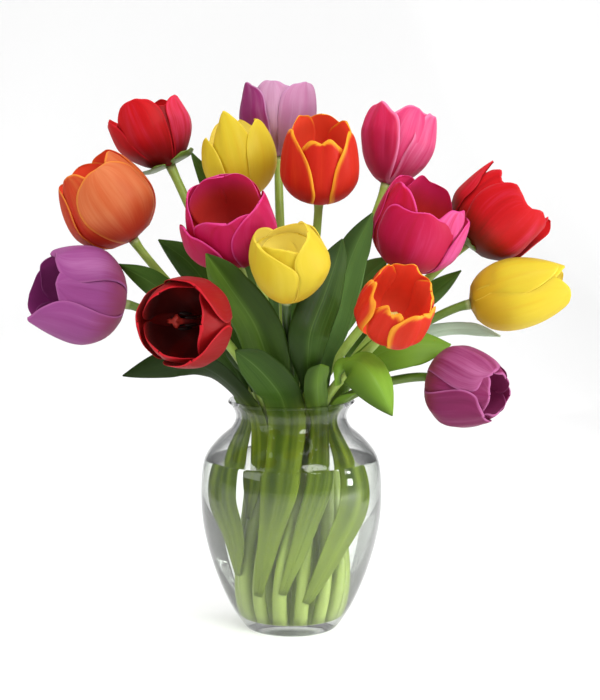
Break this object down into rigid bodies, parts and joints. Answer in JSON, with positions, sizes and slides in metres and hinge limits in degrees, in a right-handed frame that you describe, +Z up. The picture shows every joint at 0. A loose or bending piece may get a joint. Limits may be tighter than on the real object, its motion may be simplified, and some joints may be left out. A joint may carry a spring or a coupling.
{
  "type": "tulips in a vase",
  "caption": "Cut tulips of mixed colours with their leaves, standing in water in a round-shouldered clear glass vase with a narrow neck and flared lip.",
  "frame": {"origin": "middle of the vase's foot, on the surface that the vase stands on", "axes": "+Z up along the vase's axis, -Y to the front of the arrangement, +X to its right as seen from the front"},
  "size_m": [0.4322, 0.2694, 0.4398],
  "materials": {
    "clear_glass": "clear, polished",
    "water": "clear liquid",
    "stem_green": "smooth, waxy",
    "leaf_green": "smooth, waxy, fine veins along the blade",
    "pistil_green": "matt",
    "petal_pink": "satin petals with fine lengthwise streaks",
    "petal_red": "satin petals with fine lengthwise streaks",
    "petal_yellow": "satin petals with fine lengthwise streaks",
    "petal_purple": "satin petals with fine lengthwise streaks",
    "petal_orange": "satin petals with fine lengthwise streaks",
    "petal_magenta": "satin petals with fine lengthwise streaks"
  },
  "bodies": {
    "root": {"vase": "clear_glass", "water": "water", "stem_pink_top_right": "stem_green", "stem_red_right": "stem_green", "stem_yellow_right": "stem_green", "stem_purple_right": "stem_green", "stem_orange_front": "stem_green", "stem_yellow_front": "stem_green", "stem_red_front_left": "stem_green", "stem_purple_left": "stem_green", "stem_orange_left": "stem_green", "stem_red_top_left": "stem_green", "stem_purple_top": "stem_green", "stem_orange_top": "stem_green", "stem_magenta_right": "stem_green", "stem_magenta_left": "stem_green", "stem_yellow_top": "stem_green", "bloom_pink_top_right": "petal_pink", "bloom_red_right": "petal_red", "bloom_yellow_right": "petal_yellow", "bloom_purple_right": "petal_purple", "bloom_orange_front": "petal_orange", "bloom_yellow_front": "petal_yellow", "bloom_red_front_left": "petal_red", "bloom_purple_left": "petal_purple", "bloom_orange_left": "petal_orange", "bloom_red_top_left": "petal_red", "bloom_purple_top": "petal_purple", "bloom_orange_top": "petal_orange", "bloom_magenta_right": "petal_magenta", "bloom_magenta_left": "petal_magenta", "bloom_yellow_top": "petal_yellow", "pistil_red_right": "pistil_green", "pistil_purple_right": "pistil_green", "pistil_orange_front": "pistil_green", "pistil_yellow_front": "pistil_green", "pistil_red_front_left": "pistil_green", "pistil_purple_left": "pistil_green", "pistil_orange_top": "pistil_green", "pistil_magenta_left": "pistil_green", "pistil_magenta_right": "pistil_green", "leaf_front_left_large": "leaf_green", "leaf_front_low": "leaf_green", "leaf_left_narrow": "leaf_green", "leaf_left_low": "leaf_green", "leaf_centre_front": "leaf_green", "leaf_centre_tall": "leaf_green", "leaf_right_behind": "leaf_green", "leaf_front_right_drooping": "leaf_green", "leaf_front_short": "leaf_green", "leaf_right_mouth": "leaf_green", "leaf_right_broad": "leaf_green", "leaf_right_upper": "leaf_green", "leaf_right_pale": "leaf_green", "leaf_left_upper": "leaf_green", "leaf_left_inner": "leaf_green", "leaf_left_behind": "leaf_green", "leaf_left_mouth": "leaf_green", "leaf_back_large": "leaf_green", "leaf_back_low": "leaf_green"}
  },
  "joints": []
}
